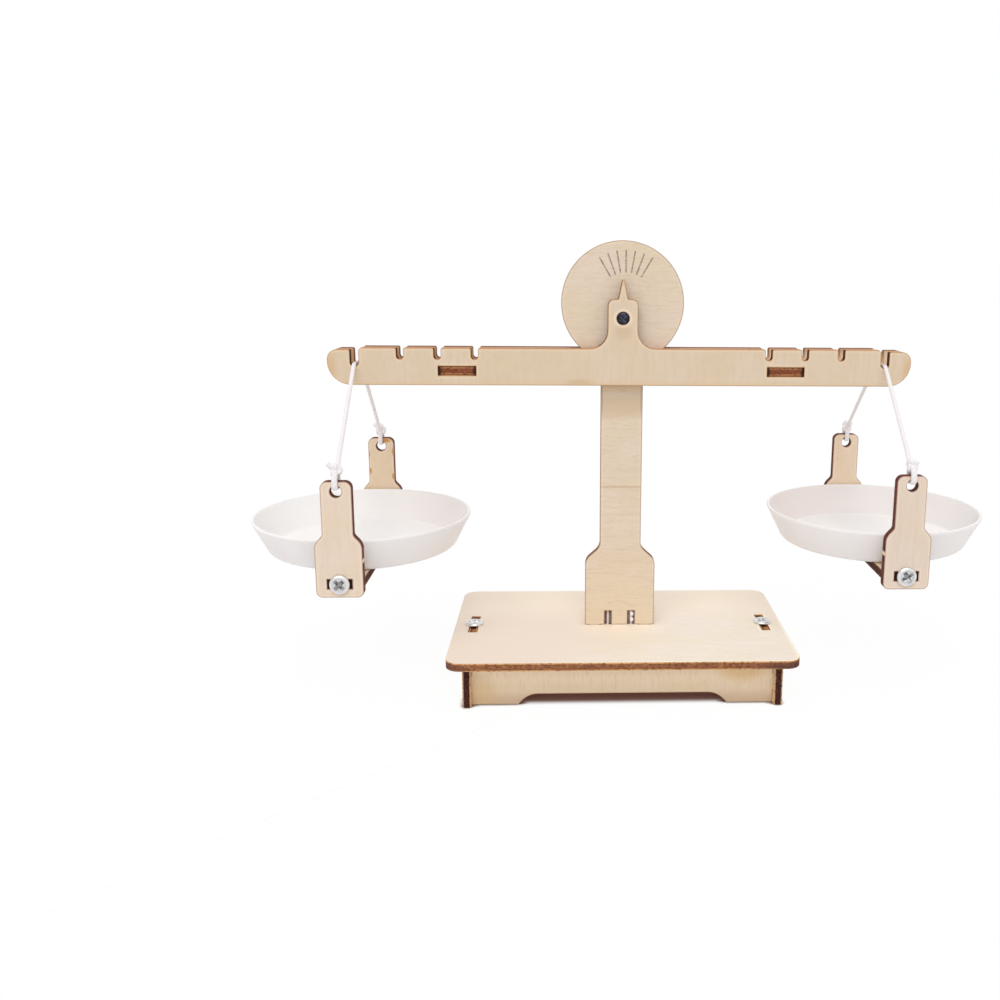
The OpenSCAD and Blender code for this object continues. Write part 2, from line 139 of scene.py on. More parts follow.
def even_line(line, step):
    """The same line with its points about step apart."""
    run = run_of(line)
    at = np.linspace(0, run[-1], math.ceil(run[-1] / step) + 1)
    return np.stack([np.interp(at, run, line[:, axis]) for axis in (X, Y, Z)], axis=1)


def bridged(rings):
    """Faces between each ring of numbered points and the next one. A ring may be a single point."""
    faces = []
    for lower, upper in zip(rings[:-1], rings[1:]):
        sides = max(len(lower), len(upper))
        for k in range(sides):
            after = (k + 1) % sides
            corners = (lower[k % len(lower)], lower[after % len(lower)],
                       upper[after % len(upper)], upper[k % len(upper)])
            face = tuple(dict.fromkeys(corners))
            if len(face) > 2:
                faces.append(face)
    return faces


def twisted_tube(line, diameter, widths=1.0, spreads=1.0, sides=string_sides, end_share=0.35):
    """Points, faces and lay of a tube of twisted yarns along a line, closed at both ends. widths
    makes each point of the line thicker or thinner, and spreads makes it wider across only."""
    tangents = np.gradient(line, axis=0)
    tangents /= np.linalg.norm(tangents, axis=1)[:, None]
    run = run_of(line)
    from_end = np.minimum(run, run[-1] - run)
    narrow = widths * (1 - (1 - end_share) * (1 - from_end / (0.5 * diameter)).clip(0) ** 2)
    wider = spreads * np.ones(len(line))
    turns = np.arange(sides) / sides
    side = np.cross(tangents[0], [1.0, 0.0, 0.0])
    points, lays = [], []
    for i, tangent in enumerate(tangents):
        side = side - (side @ tangent) * tangent
        side /= np.linalg.norm(side)
        lay = yarn_count * (turns - run[i] / yarn_pitch)
        ridge = abs(np.sin(math.pi * lay)) ** 0.7
        radius = 0.5 * diameter * narrow[i] * (1 - yarn_groove + yarn_groove * ridge)
        along_side = np.outer(radius * np.cos(2 * math.pi * turns), side)
        across_side = np.outer(radius * wider[i] * np.sin(2 * math.pi * turns), np.cross(tangent, side))
        points.extend(line[i] + along_side + across_side)
        lays.extend(np.column_stack([lay, np.full(sides, run[i]), ridge]))
    rings = [range(i * sides, (i + 1) * sides) for i in range(len(line))]
    return points, bridged(rings) + [tuple(rings[0][::-1]), tuple(rings[-1])], lays


class Wire:
    """A number, colour or shape on its way through a tree's nodes. Sums and products add Math nodes."""

    def __init__(self, tree, socket):
        self.tree = tree
        self.socket = socket

    def __add__(self, other):
        return self.tree.math("ADD", self, other)

    def __sub__(self, other):
        return self.tree.math("SUBTRACT", self, other)

    def __rsub__(self, other):
        return self.tree.math("SUBTRACT", other, self)

    def __mul__(self, other):
        return self.tree.math("MULTIPLY", self, other)

    def __truediv__(self, other):
        return self.tree.math("DIVIDE", self, other)

    __radd__ = __add__
    __rmul__ = __mul__

    def size(self):
        return self.tree.math("ABSOLUTE", self)

    def between(self, low, high):
        """0 up to low, 1 from high on, and a smooth rise between them."""
        values = {"Value": self, "From Min": low, "From Max": high}
        return self.tree.node("ShaderNodeMapRange", values, interpolation_type="SMOOTHSTEP")


class Tree:
    """The nodes of a material, a world or a Geometry Nodes group while they are put together."""

    def __init__(self, tree):
        self.nodes = tree.nodes
        self.links = tree.links
        self.nodes.clear()

    def node(self, kind, values=None, output=0, **settings):
        """Adds a node: its settings first, then its sockets' values or links, and gives one output."""
        added = self.nodes.new(kind)
        for name, setting in settings.items():
            setattr(added, name, setting)
        for name, value in (values or {}).items():
            if isinstance(value, Wire):
                self.links.new(value.socket, added.inputs[name])
            else:
                added.inputs[name].default_value = value
        return Wire(self, added.outputs[output]) if len(added.outputs) else None

    def math(self, operation, *values):
        return self.node("ShaderNodeMath", dict(enumerate(values)), operation=operation)


class Finish(Tree):
    """One material while its nodes are put together."""

    def __init__(self, name):
        self.material = bpy.data.materials.new(name)
        self.material.use_nodes = True
        super().__init__(self.material.node_tree)

    def place(self):
        """Where a point lies on the object, in metres."""
        return self.node("ShaderNodeTexCoord", output="Object")

    def facing_up(self):
        """1 where the surface faces up, 0 where it is upright."""
        return self.parts(self.node("ShaderNodeTexCoord", output="Normal"))[Z]

    def stored(self, name, output="Fac"):
        return self.node("ShaderNodeAttribute", output=output, attribute_name=name)

    def parts(self, vector):
        """The three numbers of a vector."""
        split = self.node("ShaderNodeSeparateXYZ", {0: vector})
        return [Wire(self, socket) for socket in split.socket.node.outputs]

    def noise(self, where=None, scale=1.0, detail=2.0, roughness=0.5):
        """Noise at a point's place on the object, or where three numbers say."""
        where = self.node("ShaderNodeCombineXYZ", dict(enumerate(where))) if where else self.place()
        values = {"Vector": where, "Scale": scale, "Detail": detail, "Roughness": roughness}
        return self.node("ShaderNodeTexNoise", values)

    def mix(self, share, first, second):
        """first where share is 0 and second where it is 1, as colours."""
        first, second = [(*c, 1) if isinstance(c, tuple) else c for c in (first, second)]
        return self.node("ShaderNodeMix", {0: share, 6: first, 7: second}, 2, data_type="RGBA")

    def bump(self, height, millimetres, strength):
        values = {"Height": height, "Distance": millimetres * MM, "Strength": strength}
        return self.node("ShaderNodeBump", values)

    def surface(self, **values):
        """Ends the material in one Principled shader with these sockets, and gives the material."""
        named = {name.replace("_", " "): value for name, value in values.items()}
        self.node("ShaderNodeOutputMaterial", {0: self.node("ShaderNodeBsdfPrincipled", named)})
        return self.material


def colour(red, green, blue):
    """A colour as seen on a screen, 0 to 255, as the shaders want it."""
    shares = [c / 255 for c in (red, green, blue)]
    return tuple(s / 12.92 if s <= 0.04045 else ((s + 0.055) / 1.055) ** 2.4 for s in shares)


finish = Finish("cotton")
lay, along, ridge = finish.parts(finish.stored("yarn", "Vector"))
fibres = finish.noise((lay * 9, along * 1.2, 0.0), 1.0, 3.0)
dust = finish.noise(scale=260.0)
# Painted shade: the grooves between the yarns are painted darker than the yarns' crowns
shade = finish.mix(ridge.between(0.1, 0.7), colour(230, 224, 224), colour(244, 239, 240))
shade = finish.mix(fibres.between(0.5, 0.8) * 0.3, shade, colour(226, 219, 220))
shade = finish.mix(dust.between(0.55, 0.75) * 0.2, shade, colour(230, 222, 219))
cotton = finish.surface(Base_Color=shade, Roughness=0.95, Specular_IOR_Level=0.2, Sheen_Weight=0.4,
                        Sheen_Roughness=0.6, Normal=finish.bump(fibres, 0.06, 0.6))

strings = {}
for side, rises in lifts.items():
    low, high, middle = node_box(f"{side}_string")
    front = [(middle[X], y, z + rise) for (y, z), rise in zip(route, rises)]
    back = [(x, -y, z) for x, y, z in reversed(front)]
    line = even_line(rounded_line(front + back), string_step)
    widths = np.interp(line[:, Y], (low[Y] + 4, low[Y] + 14, high[Y] - 8), strand_widths)
    spreads = np.interp(abs(line[:, Y]), (high[Y] - 6.5, high[Y] - 4.5), (1.0, loop_spread))
    points, faces, lays = twisted_tube(line, string_d, widths, spreads)
    string = add_piece(f"{side}_cotton_string", points, faces, 80, cotton)
    keep_values(string, "yarn", lays)
    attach(string, f"{side}_string")
    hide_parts(f"{side}_string")
    strings[side] = (string, line)


# Knots. Each end of a string is tied round its own loop, just above the hanger, in a knot of a
# few turns that is pulled tight. A short tail sticks out of it, cut off and a little frayed.
knot_turn_r = 0.31
knot_depth = 0.975
knot_stretch = 1.5
knot_points = 120
knot_rope_d = 1.5
tail_d = 1.35
rope_sides = 14
tail_sag = 0.3
# How far each pair of knots sits above the middle of its place, and where its tails point, as
# (along X, along Y, up), in millimetres
knot_rise = {"left": 0.0, "right": -0.25}
tails = {"left": (-2.0, -0.3, 1.5), "right": (1.5, -0.2, 1.0)}


def knot_line(middle, turn):
    """The line of a trefoil knot that is pulled tight round a middle."""
    t = np.linspace(0, 2 * math.pi, knot_points)
    x = np.sin(t) + 2 * np.sin(2 * t)
    y = np.cos(t) - 2 * np.cos(2 * t)
    c = math.cos(turn)
    s = math.sin(turn)
    shape = np.stack([x * c - y * s, -knot_depth * np.sin(3 * t), (x * s + y * c) * knot_stretch], axis=1)
    return middle + knot_turn_r * shape


def joined(shapes):
    """Points, faces and values of several shapes as one."""
    points, faces, values = [], [], []
    for some_points, some_faces, some_values in shapes:
        faces += [tuple(i + len(points) for i in face) for face in some_faces]
        points += some_points
        values += some_values
    return points, faces, values


for side, (string, line) in strings.items():
    low, high, middle = node_box(f"{side}_knots")
    knot_r = (high[Z] - low[Z]) / 2
    shapes = []
    for end, edge_y in ((-1, low[Y]), (1, high[Y])):
        centre = np.array((middle[X], edge_y - end * knot_r, middle[Z] + knot_rise[side]))
        turns = knot_line(centre, 0.4 + 0.9 * end)
        shapes.append(twisted_tube(turns, knot_rope_d, sides=rope_sides, end_share=1.0))
        out = np.array(tails[side]) * (1, -end, 1)
        tail = [centre + out * share + (0, 0, tail_sag * share * share) for share in (0, 0.4, 0.7, 1)]
        tail = even_line(rounded_line(tail), string_step)
        shapes.append(twisted_tube(tail, tail_d, sides=rope_sides, end_share=0.85))
    points, faces, lays = joined(shapes)
    knots = add_piece(f"{side}_cotton_knots", points, faces, 80, cotton)
    keep_values(knots, "yarn", lays)
    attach(knots, f"{side}_string")
    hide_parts(f"{side}_knots")
    length = float(run_of(line)[-1]) * MM


# Base. Five boards cut by laser from three-layer plywood: a top with round corners, two sides it
# is screwed to, and a front and a back whose end tabs plug into slots in the sides.
rim_spacing = 1.4
# How a cut edge is rounded, as (in from the wall, off the face), and where rows of points follow it
rim_steps = ((0.1, 0), (0.03, 0.03), (0, 0.1))
face_bands = (0.3, 0.7, 1.3)
# Each board shows another part of the grain, this far along its sheet
sheet_shift = 53.0
boards_cut = []


def area(outline):
    x, y = outline.T
    return 0.5 * abs(float(np.sum(x * np.roll(y, -1) - np.roll(x, -1) * y)))


def flat_outlines(node, thin, end):
    """The closed outlines of one flat side of a CAD board, in millimetres, with its wood on their left."""
    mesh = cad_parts[node].data
    places = np.array([v.co[:] for v in mesh.vertices]) / MM
    corners = np.array([p.vertices[:] for p in mesh.polygons])
    level = places[:, thin].max() if end > 0 else places[:, thin].min()
    flat = corners[(np.abs(places[corners][:, :, thin] - level) < 1e-3).all(axis=1)]
    keys = [tuple(key) for key in np.round(places[:, [thin - 2, thin - 1]] * 1e4).astype(int)]
    edges = set()
    for a, b, c in flat:
        for one, two in ((keys[a], keys[b]), (keys[b], keys[c]), (keys[c], keys[a])):
            edges.symmetric_difference_update([(one, two) if end > 0 else (two, one)])
    following = {one: two for one, two in edges if (two, one) not in edges}
    outlines = []
    while following:
        start, at = following.popitem()
        outline = [start]
        while at != start:
            outline.append(at)
            at = following.pop(at)
        outlines.append(np.array(outline) / 1e4)
    return sorted(outlines, key=lambda o: (-area(o), tuple(o.min(axis=0))))


def with_even_edges(outline):
    """The outline with its long edges cut into short ones, from a fixed first corner."""
    outline = np.roll(outline, -int(np.lexsort(outline.T)[0]), axis=0)
    points = []
    for here, there in zip(outline, np.roll(outline, -1, axis=0)):
        pieces = max(1, math.ceil(np.linalg.norm(there - here) / rim_spacing))
        points += [here + (there - here) * i / pieces for i in range(pieces)]
    return np.array(points)


def moved_in(outline, inset):
    """Each point of an outline moved to its left, square to the edges beside it."""
    ahead = np.roll(outline, -1, axis=0) - outline
    ahead /= np.linalg.norm(ahead, axis=1)[:, None]
    left = np.stack([-ahead[:, 1], ahead[:, 0]], axis=1)
    before = np.roll(left, 1, axis=0)
    mitre = (left + before) / (1 + (left * before).sum(axis=1))[:, None].clip(0.3)
    return outline + inset * mitre


def edges_of(outlines):
    """Both ends of each edge of some closed outlines."""
    for outline in outlines:
        yield from zip(outline, np.roll(outline, -1, axis=0))


def from_outlines(points, outlines):
    """How far each point is from the nearest of the outlines."""
    best = np.full(len(points), np.inf)
    for here, there in edges_of(outlines):
        edge = there - here
        share = ((points - here) @ edge / (edge @ edge)).clip(0, 1)
        best = np.minimum(best, np.linalg.norm(points - here - share[:, None] * edge, axis=1))
    return best


def inside(points, outlines):
    """Which points lie in the wood: an odd number of outline edges lies to their right."""
    crossings = np.zeros(len(points), int)
    for here, there in edges_of(outlines):
        spans = (here[1] > points[:, 1]) != (there[1] > points[:, 1])
        rise = (there[1] - here[1]) or 1.0
        crossing_x = here[0] + (points[:, 1] - here[1]) * (there[0] - here[0]) / rise
        crossings += spans & (points[:, 0] < crossing_x)
    return crossings % 2 == 1


def face_triangles(rims, outlines):
    """Loose points in rows that follow a face's outlines, and the triangles between its rims and them."""
    loose = {}
    for outline in outlines:
        for band in face_bands:
            row = moved_in(outline, band)
            fits = inside(row, outlines) & (from_outlines(row, outlines) > 0.9 * band)
            for p in row[fits]:
                loose.setdefault((round(p[0] / 0.25), round(p[1] / 0.25)), p)
    loose = np.array(list(loose.values()))
    places = [Vector(p) for row in (*rims, loose) for p in row]
    edges = []
    for rim in rims:
        first = edges[-1][0] + 1 if edges else 0
        edges += [(first + i, first + (i + 1) % len(rim)) for i in range(len(rim))]
    found, _, faces, origins, _, _ = delaunay_2d_cdt(places, edges, [], 0, 1e-5)
    middles = np.array([np.mean([found[i][:] for i in face], axis=0) for face in faces])
    wood = inside(middles, rims)
    return loose, [tuple(origins[i][0] for i in face) for face, keep in zip(faces, wood) if keep]


def laser_cut(node, body, thin, grain, wood, marks=None, mark_depth=0.0):
    """A CAD board as its detailed piece. thin and grain are the axes through it and along its grain.
    It keeps each point's place in the board, in millimetres, and its distance from the cut edge on the
    face, which is -1 on the cut walls. Shallow marks in its low face get a material of their own."""
    outlines = [with_even_edges(o) for o in flat_outlines(node, thin, 1)]
    through = {tuple(np.round(o.min(axis=0), 2)) for o in outlines}
    other_side = [with_even_edges(o) for o in flat_outlines(node, thin, -1)]
    grooves = [o for o in other_side if marks and tuple(np.round(o.min(axis=0), 2)) not in through]
    low, high, middle = node_box(node)
    bottom = low[thin]
    top = high[thin]
    places, faces, cut = [], [], []

    def add_ring(outline, level, from_cut):
        rows = np.column_stack([outline, np.full(len(outline), level)])
        places.extend(np.roll(rows, thin + 1, axis=1))
        cut.extend(np.broadcast_to(from_cut, len(outline)))
        return list(range(len(places) - len(outline), len(places)))

    levels = [(inset, bottom + off) for inset, off in rim_steps]
    levels += [(inset, top - off) for inset, off in reversed(rim_steps)]
    rings = {bottom: [], top: []}
    for outline in outlines:
        stack = [add_ring(moved_in(outline, inset), level, 0 if level in rings else -1)
                 for inset, level in levels]
        faces.extend(bridged(stack))
        rings[bottom].append(stack[0])
        rings[top].append(stack[-1])
    mark_rings = [add_ring(groove, bottom, face_bands[-1]) for groove in grooves]
    rings[bottom] += mark_rings
    for level, numbered in rings.items():
        rims = [np.array([places[i] for i in ring])[:, [thin - 2, thin - 1]] for ring in numbered]
        loose, triangles = face_triangles(rims, outlines)
        numbers = sum(numbered, [])
        numbers += add_ring(loose, level, from_outlines(loose, outlines).clip(max=face_bands[-1]))
        for triangle in triangles:
            face = tuple(numbers[i] for i in triangle)
            faces.append(face if level == top else face[::-1])
    wood_faces = len(faces)
    for ring, groove in zip(mark_rings, grooves):
        floor = add_ring(groove, bottom + mark_depth, face_bands[-1])
        faces += bridged([ring, floor]) + [tuple(floor)]
    piece = add_piece(f"{node}_board", places, faces, 35, wood)
    if marks:
        piece.data.materials.append(marks)
        for polygon in piece.data.polygons[wood_faces:]:
            polygon.material_index = 1
    boards_cut.append(node)
    shift = sheet_shift * len(boards_cut)
    board = (places - middle)[:, [grain, 3 - thin - grain, thin]] + [shift, 0.37 * shift, 0]
    keep_values(piece, "board", board)
    keep_values(piece, "cut", cut)
    keep_values(piece, "half_thickness", [(top - bottom) / 2] * len(places))
    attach(piece, body)
    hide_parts(node)


def tinted(tone, *shares):
    """A tone with its red, green and blue made stronger or weaker."""
    return tuple(min(1.0, c * share) for c, share in zip(tone, shares))


def with_spots(finish, shade, spots):
    """A shade with soft spots. Each is (middle, reach, colour, strength), the first two in millimetres."""
    place = finish.place()
    for middle, reach, tint, strength in spots:
        shares = [1 / (r * MM) for r in reach]
        offsets = [-m / r for m, r in zip(middle, reach)]
        values = {0: place, 1: shares, 2: offsets}
        away = finish.node("ShaderNodeVectorMath", values, operation="MULTIPLY_ADD")
        away = finish.node("ShaderNodeVectorMath", {0: away}, "Value", operation="LENGTH")
        shade = finish.mix((1 - away.between(0.3, 1.0)) * strength, shade, colour(*tint))
    return shade


def plywood(name, tone, core, veneer, streaks=1.0, halo=0.8, edge=None, edge_line=0.7, core_share=0.7,
            specks=0.6, upward=None, spots=(), burns=()):
    """Birch plywood in one tone, cut by laser. Its burnt walls are core in the middle of the board, up to
    core_share of its thickness and with specks of veneer in it, veneer outside that, and upward where
    they face up. Beside a cut the face has a thin edge line and then a paler halo. Its faces carry the
    spots and its walls the burns, some of which are painted light or shade."""
    finish = Finish(f"{name}_plywood")
    tone, core, veneer = (colour(*shade) for shade in (tone, core, veneer))
    along, over, through = finish.parts(finish.stored("board", "Vector"))
    cut = finish.stored("cut")
    wavy = over + finish.noise((along * 0.09, over * 0.11, 6.0), 1.0, 1.0) * 2.4
    lines = finish.noise((along * 0.06, wavy * 0.85, 0.0), 1.0, 3.0, 0.6)
    fine = finish.noise((along * 0.3, wavy * 2.3, 4.0), 1.0, 2.0, 0.65)
    cloud = finish.noise((along * 0.05, over * 0.08, 9.0))
    mottle = finish.noise((along * 0.35, over * 0.5, 3.0), 1.0, 3.0, 0.6)
    pores = finish.noise((along * 0.5, over * 5.0, 2.0), 1.0, 1.0)
    patches = finish.noise((along * 1.3, over * 1.3, through * 2.2), 1.0, 3.0, 0.7)
    uneven = finish.noise(scale=420.0, detail=3.0) * 0.2 - 0.1
    from_cut = cut + uneven
    deep = tinted(tone, 0.86, 0.80, 0.72)
    face = finish.mix(lines.between(0.3, 0.7), tinted(tone, 1.04, 1.05, 1.07), tone)
    face = finish.mix(cloud.between(0.4, 0.65) * 0.45, face, tinted(tone, 0.97, 0.97, 0.84))
    face = finish.mix(mottle.between(0.45, 0.7) * 0.16, face, deep)
    face = finish.mix((1 - from_cut.between(0.3, 0.95)) * halo, face, tinted(tone, 1.16, 1.15, 1.09))
    face = with_spots(finish, face, spots)
    streaked = (lines, 0.5, 0.8, 0.35), (fine, 0.48, 0.75, 0.5), (pores, 0.66, 0.76, 0.3)
    for grain, low, high, share in streaked:
        face = finish.mix(grain.between(low, high) * (share * streaks), face, deep)
    singed = colour(*edge) if edge else tuple(0.5 * (c + v) for c, v in zip(tone, veneer))
    face = finish.mix((1 - from_cut.between(0.1, 0.45)) * edge_line, face, singed)

    layers = through.size() / finish.stored("half_thickness") + uneven
    wall = finish.mix(layers.between(core_share, core_share + 0.07), core, veneer)
    wall = finish.mix((1 - patches.between(0.38, 0.5)) * 0.8, wall, tinted(core, 0.5, 0.5, 0.5))
    wall = finish.mix(patches.between(0.52, 0.66) * specks, wall, veneer)
    if upward:
        wall = finish.mix(finish.facing_up().between(0.8, 0.95), wall, colour(*upward))
    wall = with_spots(finish, wall, burns)
    on_wall = 1 - cut.between(-0.7, -0.2)
    relief = lines * 0.3 + fine * 0.4 + pores * 0.3 + patches * on_wall
    rough = 0.6 + on_wall * 0.25 + fine * 0.08
    return finish.surface(Base_Color=finish.mix(on_wall, face, wall), Specular_IOR_Level=0.3,
                          Roughness=rough, Normal=finish.bump(relief, 0.08, 0.35))


# The top is pinker at the left. Painted light at the back, at both back corners and behind the post,
# lifts the shade that the pans and the post cast there. Its burnt edge is darker at the near corners
top_tone_and_painted_light = [
    ((-36, -4, 14.4), (46, 60, 9), (241, 224, 208), 0.9),
    ((0, 27, 14.4), (110, 30, 9), (255, 240, 220), 0.7),
    ((-50, 20, 14.4), (22, 26, 9), (255, 240, 222), 1.0),
    ((50, 20, 14.4), (16, 24, 9), (255, 240, 222), 0.8),
    ((0, 6, 14.4), (20, 22, 9), (255, 240, 220), 0.8)]
top_burns = [
    ((47, -27, 12.6), (17, 9, 2.2), (78, 50, 46), 0.8),
    ((-48, -27, 12.6), (9, 9, 2.2), (96, 62, 54), 0.7)]
top_wood = plywood(
    "base_top", (243, 231, 217), core=(144, 90, 60), veneer=(220, 166, 112), streaks=0.15, halo=1.0,
    edge_line=0.12, core_share=0.66, specks=0.34, spots=top_tone_and_painted_light, burns=top_burns)
laser_cut("base_top", "stand", Z, X, top_wood)
# The ends of the sides' tabs, which show beside the screws, are scorched less
tab_ends = [((side * 42.6 + 0.5, y, 14.4), (1.5, 1.8, 1.4), scorch, strength) for side in (-1, 1)
            for y, scorch, strength in ((-4.6, (190, 126, 72), 0.85), (4.6, (140, 90, 56), 0.8))]
side_wood = plywood(
    "base_side", (226, 199, 166), core=(62, 24, 18), veneer=(210, 164, 120), core_share=0.66,
    specks=0.15, burns=tab_ends)
laser_cut("base_left_side", "stand", X, Y, side_wood)
laser_cut("base_right_side", "stand", X, Y, side_wood)
# The front panel has painted light along its top, against the shade under the top's overhang, and
# painted shade near the floor, and glue has stained it near both ends
panel_painted_light_and_stains = [
    ((0, -23, 9.5), (150, 9, 5), (250, 229, 200), 1.0),
    ((0, -23, -0.5), (150, 9, 5.5), (206, 180, 152), 1.0),
    ((-40, -23, 2.5), (8, 9, 9), (216, 182, 130), 0.5),
    ((33, -23, 9.5), (9, 9, 5), (234, 198, 144), 0.75)]
panel_wood = plywood(
    "base_panel", (231, 210, 182), core=(98, 62, 48), veneer=(150, 104, 74), streaks=0.9,
    spots=panel_painted_light_and_stains)
laser_cut("base_front", "stand", Y, Z, panel_wood)
laser_cut("base_back", "stand", Y, Z, panel_wood)


# Post. One board with a wide foot, a neck and a round dial, glued by tabs into the base's top.
# Seven short lines are engraved in the dial for the pointer, and the grain lies level.
engraved_depth = 0.15

finish = Finish("engraved_line")
along, over, _ = finish.parts(finish.stored("board", "Vector"))
patches = finish.noise((along * 1.6, over * 1.6, 0.0))
shade = finish.mix(patches.between(0.35, 0.7), colour(160, 138, 138), colour(212, 192, 180))
engraved = finish.surface(Base_Color=shade, Roughness=0.85, Specular_IOR_Level=0.2,
                          Normal=finish.bump(patches, 0.06, 0.4))

# The neck under the beam is painted a warm brown shade, with painted light in a band right under
# the beam, and its edges there are darker. The foot is yellower, and one dark line of the grain
# crosses the neck
post_tone_and_painted_shade = [
    ((0, -1.2, 20), (18, 3, 20), (230, 211, 182), 0.7),
    ((0, -1.2, 56), (14, 3, 0.45), (196, 164, 134), 0.6),
    ((0, -1.2, 79.5), (16, 3, 5.2), (208, 184, 150), 0.7),
    ((0, -1.2, 85), (16, 3, 2.6), (246, 212, 174), 0.9)]
post_tone_and_painted_shade += [((side * 5.9, -1.2, 81), (0.9, 3, 7), (176, 132, 100), 0.7) for side in (-1, 1)]
post_wood = plywood(
    "post", (226, 207, 186), core=(140, 96, 74), veneer=(150, 108, 82), streaks=1.2, halo=0.55,
    edge_line=0.85, spots=post_tone_and_painted_shade)
laser_cut("post", "stand", Y, X, post_wood, engraved, engraved_depth)
# The end of the right gusset's tab has two painted highlights, small white glints
low, _, middle = node_box("right_gusset")
painted_glints = [((middle[X] + 0.3, low[Y], z), (0.7, 1.5, 0.9), (252, 248, 250), 1.0) for z in (15.9, 17.6)]
for side, burns in (("left", ()), ("right", painted_glints)):
    gusset_wood = plywood(
        f"{side}_gusset", (222, 203, 178), core=(226, 214, 210), veneer=(92, 62, 48), core_share=0.3,
        burns=burns)
    laser_cut(f"{side}_gusset", "stand", X, Z, gusset_wood)


# Axle. One short steel pin, blackened, with rounded ends. It is pressed into both plates of the
# beam and turns in the hole of the post.
axle_end_round = 0.6
axle_sides = 48


def arc(middle, radius, first, last, steps):
    """Points of an arc, as (radius, level), between two angles in degrees."""
    angles = [math.radians(first + (last - first) * i / steps) for i in range(steps + 1)]
    return [(middle[0] + radius * math.cos(a), middle[1] + radius * math.sin(a)) for a in angles]


def lathed(profile, sides, axis=Z, middle=(0, 0, 0)):
    """Points and faces of a profile, as (radius, along the axis), turned round an axis."""
    points, rings = [], []
    for radius, level in profile:
        count = 1 if radius < 1e-6 else sides
        rings.append(range(len(points), len(points) + count))
        for angle in np.arange(count) * 2 * math.pi / sides:
            place = np.roll((radius * math.cos(angle), radius * math.sin(angle), level), axis + 1)
            points.append(place + middle)
    return points, bridged(rings)


finish = Finish("blackened_steel")
specks = finish.noise(scale=1500.0, detail=3.0)
turned = finish.noise(scale=380.0)
shade = finish.mix(specks.between(0.4, 0.75), colour(26, 28, 38), colour(84, 90, 108))
black_steel = finish.surface(Base_Color=shade, Metallic=0.6, Roughness=0.28 + turned * 0.2,
                             Normal=finish.bump(turned, 0.04, 0.3))

low, high, middle = node_box("axle")
axle_r = (high[X] - low[X]) / 2
profile = [(0, low[Y])]
profile += arc((axle_r - axle_end_round, low[Y] + axle_end_round), axle_end_round, -90, 0, 6)
profile += [(r, 2 * middle[Y] - level) for r, level in reversed(profile)]
points, faces = lathed(profile, axle_sides, Y, middle * (1, 0, 1))
axle = add_piece("axle_pin", points, faces, 40, black_steel)
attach(axle, "beam")
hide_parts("axle")


# Beam. Two equal boards, one in front of the post and one behind it, each with a lobe for the
# axle, a pointer and notches along its top. Two small boards plug into both and hold them apart.
beam_end = node_box("beam_front_plate")[1][X]
slot_x = 45.65
# The cut has left a pale ring round the axle, a stain under it and golden ends on the front plate
plate_spots = [
    ((0, -4, 100.4), (3.4, 3, 3.2), (202, 174, 140), 0.5),
    ((0, -4, 104), (3.1, 3, 3.1), (252, 242, 226), 1.0),
    ((-12, -4, 85.4), (6, 3, 2.6), (200, 160, 116), 0.5),
    ((0, -4, 85), (300, 3, 2), (218, 188, 150), 0.6)]
plate_spots += [((side * beam_end, -4, 89), (3.4, 3, 8), (216, 176, 130), 0.7) for side in (-1, 1)]
# The slots' walls are pale and golden, but their ends are burnt black
slot_walls = [((side * slot_x, -4, 89.4), (9, 3, 3), (226, 172, 122), 0.9) for side in (-1, 1)]
slot_ends = [((side * slot_x + end * 5.1, -4, 89.4), (1.2, 5, 2.4), (48, 22, 14), 0.95)
             for side in (-1, 1) for end in (-1, 1)]
front_wood = plywood(
    "beam_front", (221, 200, 176), core=(72, 38, 28), veneer=(120, 76, 52), streaks=0.3,
    edge=(206, 166, 122), upward=(204, 146, 108), spots=plate_spots, burns=slot_walls + slot_ends)
# Between the plates the rear one has painted shade, orange brown, near the left notches, and painted
# light, cream, on its face and cut walls in the right notches, with a darker band above it
rear_plate_painted_light_and_shade = [
    ((-60, 1.6, 94.5), (46, 1.5, 6), (200, 142, 98), 0.9),
    ((60, 1.6, 91.5), (46, 1.5, 4.4), (255, 234, 202), 1.0),
    ((60, 1.6, 96.4), (46, 1.5, 2.6), (200, 144, 106), 0.8)]
right_notch_painted_light = [((60, 2.75, 90.5), (46, 3, 5.6), (238, 208, 176), 0.9)]
rear_wood = plywood(
    "beam_rear", (221, 200, 172), core=(150, 98, 70), veneer=(190, 136, 94), streaks=0.3,
    upward=(108, 62, 52), spots=rear_plate_painted_light_and_shade, burns=right_notch_painted_light)
laser_cut("beam_front_plate", "beam", Y, Z, front_wood)
laser_cut("beam_rear_plate", "beam", Y, Z, rear_wood)
spacer_wood = plywood(
    "spacer", (222, 202, 176), core=(132, 70, 44), veneer=(172, 118, 78), core_share=0.5, specks=0.35,
    burns=slot_ends)
laser_cut("beam_left_spacer", "beam", Z, X, spacer_wood)
laser_cut("beam_right_spacer", "beam", Z, X, spacer_wood)


# Pan holders. Under each end of the beam two upright boards hang from the string, and a bar
# between them carries the dish. Tabs of the bar plug into the boards on both sides of a screw.
hanger_tones = {"left_front": (230, 210, 191), "left_rear": (228, 205, 178),
                "right_front": (226, 207, 190), "right_rear": (235, 213, 188)}
# A pale bridge was left on each front board's inner edge, where it was broken out of its sheet
bridge_up = 9.6
